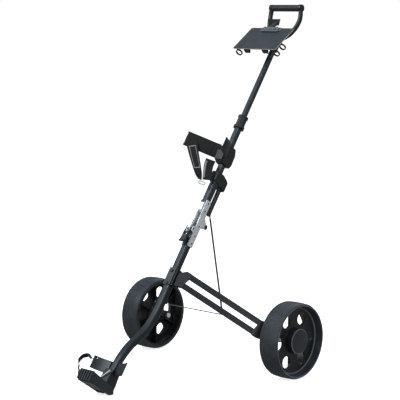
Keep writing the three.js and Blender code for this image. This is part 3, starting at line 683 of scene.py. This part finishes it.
HANDLE_S = 639.7
HANDLE_N = 24.3
GRIP_HALF = 57.2
CAP_END = 70.2
CAP_R = {-1: 12, 1: 13.3}  # the left cap is nearly flush with the grip
ARM_ROUTE = [(4, 524, 2), (22, 531, 1), (42, 546, 1), (58, 572, 3), (65, 598, 7), (66, 618, 14),
             (64, HANDLE_S - 2, HANDLE_N)]


def handle():
    """Loop handle: a socket, two flat arms and a round cap at each end of the grip."""
    socket = sweep("socket", rounded(24, 25, 6), [at(0, s, 0) for s in (478, 534)], OUT)
    meshes = [bevelled(socket, 1.6)]
    for side in (-1, 1):
        path = smooth_path([at(side * x, s, n) for x, s, n in ARM_ROUTE], 8)
        meshes.append(sweep("arm", rounded(11, 17, 4), path, OUT))
        low, high = GRIP_HALF + 0.4, CAP_END
        wide = CAP_R[side]
        cap = [(low, 0.2), (low, wide - 0.9), (low + 0.8, wide - 0.1), (high - 1.8, wide),
               (high - 0.4, wide - 1), (high, wide - 3.3), (high - 0.4, wide - 4.7), (high - 0.4, 0.2)]
        meshes.append(lathe("cap", cap, at(0, HANDLE_S, HANDLE_N), 64, side))
    piece("handle_loop", joined("handle", *meshes), BLACK, "handle", "handle_frame", slot="black_plastic")


def grip():
    """Soft grip with shallow rings."""
    rings = 22
    inside = GRIP_HALF - 0.8
    profile = [(-GRIP_HALF, 5.4), (-GRIP_HALF, 10.8)]
    for k in range(4 * rings + 1):
        x = -inside + 2 * inside * k / (4 * rings)
        profile.append((x, 11.7 - (0.22 if k % 4 in (1, 2) else 0)))
    profile += [(GRIP_HALF, 10.8), (GRIP_HALF, 5.4)]
    mesh = lathe("grip", profile, at(0, HANDLE_S, HANDLE_N), 72)
    piece("grip_ringed", mesh, GRIP, "handle", "grip_sleeve", slot="rubber")


handle()
grip()

# ---------------------------------------------------------------- bag bracket's soft wings

WING_LEFT = [(-16.6, 24), (-35, 37), (-68, 66), (-109.5, 101)]
WING_RIGHT = [(16.6, 24), (31, 38), (42, 61), (50.5, 86)]


SEAM_AT = 0.3  # the sewn line, as a share of the wing's length,
SEAM_WIDTH = 0.025  # its spread,
SEAM_DEPTH = 0.35  # and how much of the thickness it draws in
PUCKER = 0.5  # uneven cloth, in millimetres


def wing(word, route, low, high, thick):
    """Padded wing: foam that swells between its bound edges, with a sewn line across its root."""
    path = smooth_path([Vector((x, 0, n)) for x, n in route], 12)
    span = (high - low) / 2
    s_middle = (high + low) / 2
    rows = []
    around = 36
    for i, place in enumerate(path):
        along = (path[min(i + 1, len(path) - 1)] - path[max(i - 1, 0)]).normalized()
        face = Vector((-along.z, 0, along.x))
        t = i / (len(path) - 1)
        seam = 1 - SEAM_DEPTH * math.exp(-(((t - SEAM_AT) / SEAM_WIDTH) ** 2))
        end = min(1, (min(t, 1 - t) + 0.004) / 0.07) ** 0.5
        for k in range(around):
            turn = 2 * math.pi * k / around
            c, s = math.cos(turn), math.sin(turn)
            u = span * math.copysign(abs(c) ** 0.45, c)
            v = thick / 2 * math.copysign(abs(s) ** 0.8, s) * seam * (0.35 + 0.65 * end)
            pucker = PUCKER * noise(Vector((t * 9, u / 9, v))) * seam
            spot = place + face * (v + pucker * abs(s))
            rows.append(at(spot.x, s_middle + u * (0.94 + 0.06 * end), spot.z))
    mesh = with_modifiers(mesh_from("wing", rows, ring_faces(len(path), around)),
                          ("SUBSURF", {"levels": 1, "render_levels": 1}))
    pad = piece(f"bag_wing_{word}_padded", mesh, CLOTH, "upper_frame", f"bag_wing_{word}",
                slot="black_fabric")
    for name, s in (("top", high), ("bottom", low)):
        edge = [at(p.x, s, p.z) for p in path]
        tape = sweep("tape", rounded(thick * 0.62, 6, 1.2, 3), edge, UP)
        piece(f"bag_wing_{word}_{name}_tape", tape, BINDING, "upper_frame", slot="black_fabric")


wing("left", WING_LEFT, 36, 82, 8)
wing("right", WING_RIGHT, 38, 80, 8)

# ---------------------------------------------------------------- straps

STRAP_THICK = 2.2
WING_FACE = ACROSS * 0.638 + OUT * 0.769
TURNED_FACE = ACROSS - OUT * 0.2
FRONT_FACE = ACROSS * 0.66 - UP * 0.35 + OUT * 0.67

BAG_STRAP = [(-85.8, 50, 91.3), (-69, 18, 78.4), (-51, -14, 65.4), (-33, -46, 52.4), (-24, -62, 46)]
BAG_RETURN = [(-5, -56, 34), (-9, -34, 40), (-14, -8, 44), (-14, 14, 46)]
FOOT_STRAP = [(-76, -758, 108), (-92, -752, 112), (-100, -762, 124), (-92, -784, 140), (-64, -800, 158)]
FOOT_HOOK = [(-62, -804, 160), (-48, -812, 172), (-35, -822, 177), (-31.5, -834, 177)]


def strap(name, body, route, widths, faces, material, *nodes, part=(0, 1), proud=0.0, aside=0):
    """Flat webbing. Its width changes evenly along the route, and most of its twist comes late.

    part picks a stretch of the route. proud lifts a patch off the webbing's face, and aside moves it
    across the webbing.
    """
    path = smooth_path([at(*p) for p in route], 12)
    first, last = (round(share * (len(path) - 1)) for share in part)

    def along(t):
        return (first + t * (last - first)) / (len(path) - 1)

    def look(t):
        return faces[0].lerp(faces[1], along(t) ** 2)

    def section(t):
        width = widths[0] + (widths[1] - widths[0]) * along(t)
        return [(u + aside, v + proud) for u, v in rounded(width, STRAP_THICK, STRAP_THICK * 0.42, 3)]

    mesh = sweep(name, section, path[first:last + 1], look)
    return piece(name, mesh, material, body, *nodes, slot="black_fabric")


BAG_FACES = (WING_FACE, TURNED_FACE)
TRIM_SIDE = 11  # from the middle of the webbing that comes back
strap("bag_strap_webbing", "upper_frame", BAG_STRAP, (38, 24), BAG_FACES, WEBBING, "bag_strap")
strap("bag_strap_label_border", "upper_frame", BAG_STRAP, (24, 20), BAG_FACES, PRINT,
      part=(0.08, 0.6), proud=0.25)
strap("bag_strap_label", "upper_frame", BAG_STRAP, (20, 16), BAG_FACES, CLOTH, part=(0.1, 0.58), proud=0.45)
strap("bag_return_webbing", "upper_frame", BAG_RETURN, (28, 34), (FRONT_FACE, FRONT_FACE), WEBBING,
      "bag_strap_return")
strap("bag_return_trim", "upper_frame", BAG_RETURN, (6, 6), (FRONT_FACE, FRONT_FACE), LILAC,
      part=(0.1, 0.85), proud=0.6, aside=TRIM_SIDE)
strap("foot_strap_webbing", "lower_frame", FOOT_STRAP, (14, 14), (ACROSS, ACROSS), WEBBING, "foot_strap")
hook = sweep("hook", rounded(5, 5, 2), smooth_path([at(*p) for p in FOOT_HOOK], 8), OUT)
piece("foot_hook_moulded", hook, BLACK, "lower_frame", "foot_strap_hook", slot="black_plastic")
refined("strap_buckle", PLATE_EDGE, 0.4, "bright_steel")

# ---------------------------------------------------------------- studio


WORLD_LIGHT = 0.3  # how much the white surroundings light the trolley
LIGHT_TINT = (0.84, 0.93, 1.0)
LIT_SPOT = (0, 0, 0.55)
# Each light's name, place, width and power.
LIGHTS = (("key", (-1.4, -2.6, 3.4), 1.3, 135), ("fill", (3.2, -0.6, 2.2), 1.4, 42),
          ("back", (-1.0, 3.0, 2.6), 2.0, 45))
FLOOR_HALF = 60

def studio():
    """Pale floor, white surroundings, a large key light, a soft fill and a light from behind."""
    corners = [(x * FLOOR_HALF, y * FLOOR_HALF, 0) for x, y in ((-1, -1), (1, -1), (1, 1), (-1, 1))]
    mesh = mesh_from("floor", corners, [(0, 1, 2, 3)])
    mesh.materials.append(floor_paint())
    floor = bpy.data.objects.new("floor", mesh)
    bpy.context.scene.collection.objects.link(floor)
    floor.visible_diffuse = False
    floor.visible_glossy = False
    world = bpy.data.worlds.new("studio")
    world.use_nodes = True
    tree = world.node_tree
    seen = tree.nodes.new("ShaderNodeLightPath").outputs["Is Camera Ray"]
    strength = tree.nodes.new("ShaderNodeMapRange")
    strength.inputs["To Min"].default_value = WORLD_LIGHT
    tree.links.new(seen, strength.inputs["Value"])
    tree.nodes["Background"].inputs["Color"].default_value = (1, 1, 1, 1)
    tree.links.new(strength.outputs["Result"], tree.nodes["Background"].inputs["Strength"])
    bpy.context.scene.world = world
    for name, place, size, power in LIGHTS:
        data = bpy.data.lights.new(name, "AREA")
        data.size = size
        data.energy = power
        data.color = LIGHT_TINT
        lamp = bpy.data.objects.new(name, data)
        lamp.location = place
        aim = Vector(LIT_SPOT) - Vector(place)
        lamp.rotation_euler = aim.to_track_quat("-Z", "Y").to_euler()
        bpy.context.scene.collection.objects.link(lamp)
    bpy.context.scene.view_settings.view_transform = "Standard"


CAMERA_PLACE = (3.10595, -3.38965, 1.20319)
CAMERA_TILT = math.radians(82.145)
CAMERA_TURN = math.radians(42.1745)
LENS = 127.37
SENSOR = 36


def camera():
    data = bpy.data.cameras.new("camera")
    data.lens = LENS
    data.sensor_width = SENSOR
    eye = bpy.data.objects.new("camera", data)
    eye.location = CAMERA_PLACE
    eye.rotation_euler = (CAMERA_TILT, 0, CAMERA_TURN)
    bpy.context.scene.collection.objects.link(eye)
    bpy.context.scene.camera = eye


studio()
camera()
